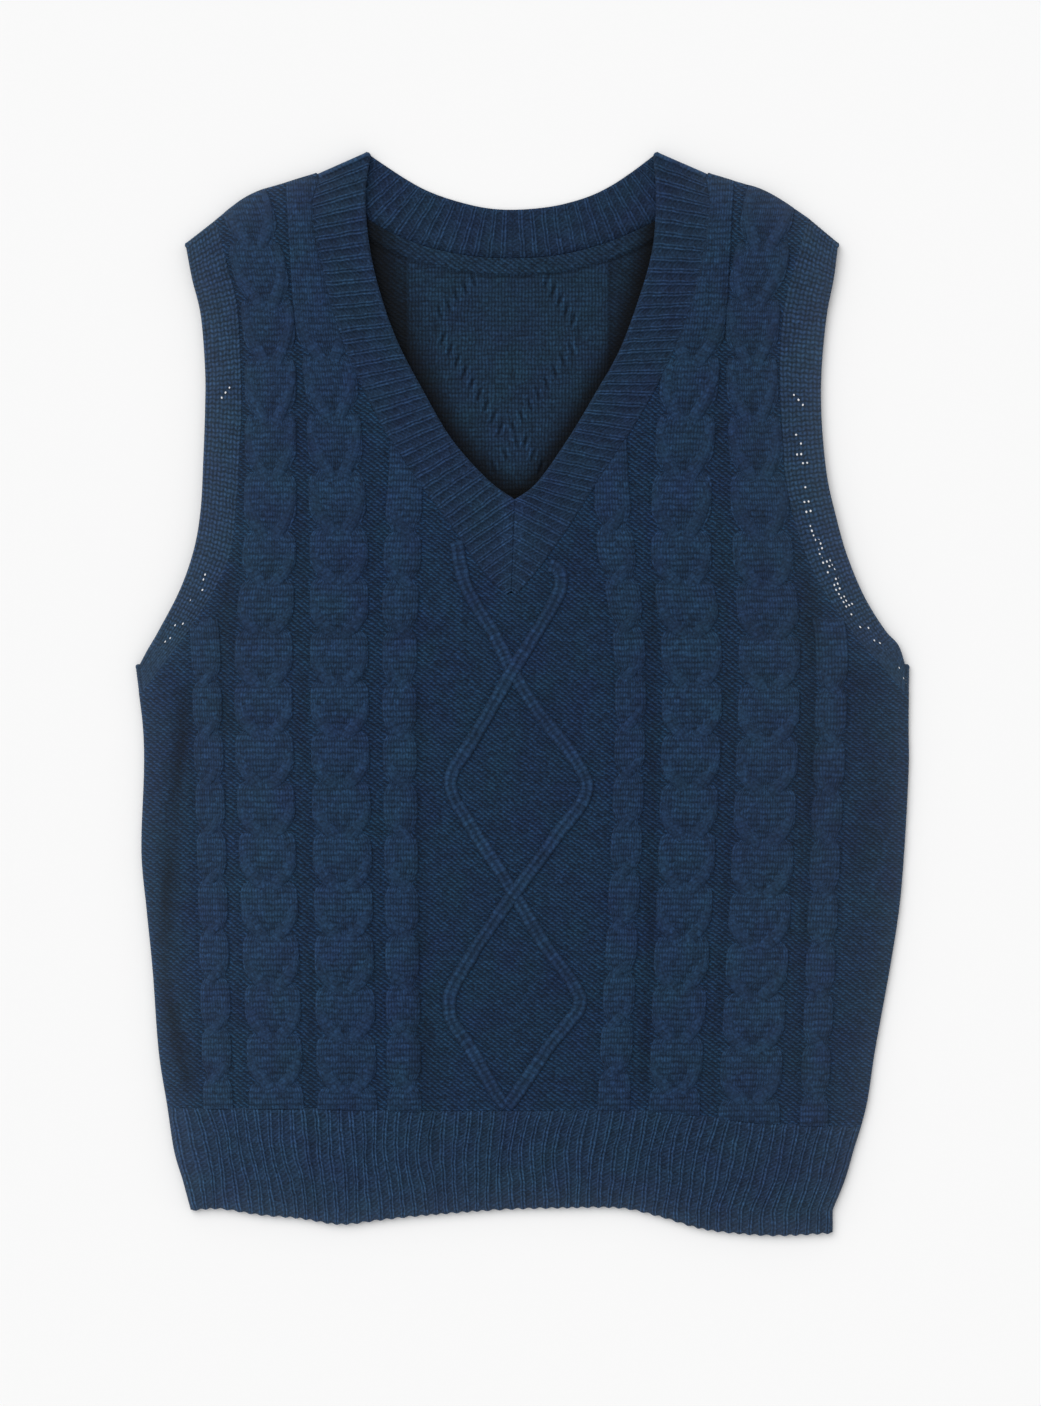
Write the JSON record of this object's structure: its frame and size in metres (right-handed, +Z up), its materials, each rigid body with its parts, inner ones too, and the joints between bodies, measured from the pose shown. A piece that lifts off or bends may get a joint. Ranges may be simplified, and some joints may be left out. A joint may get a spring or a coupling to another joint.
{
  "type": "cable-knit v-neck vest",
  "caption": "Sleeveless cable-knit V-neck vest laid flat with its front up: raised cables and a crossed lattice over a ribbed hem, with a ribbed neckband and plain armhole borders.",
  "frame": {"origin": "under the middle of the vest's outline, on the surface it lies on", "axes": "+Z up out of the front, +Y from the hem to the neck, +X to the right as seen from above (the wearer's left)"},
  "size_m": [0.4482, 0.6282, 0.0079],
  "materials": {
    "navy_knit": "matte",
    "navy_band_rib": "matte",
    "navy_hem_rib": "matte"
  },
  "bodies": {
    "root": {"back_panel": "navy_knit", "front_panel": "navy_knit", "back_hem_rib": "navy_hem_rib", "front_hem_rib": "navy_hem_rib", "neckband": "navy_band_rib", "left_armhole_band": "navy_band_rib", "right_armhole_band": "navy_band_rib"}
  },
  "joints": []
}
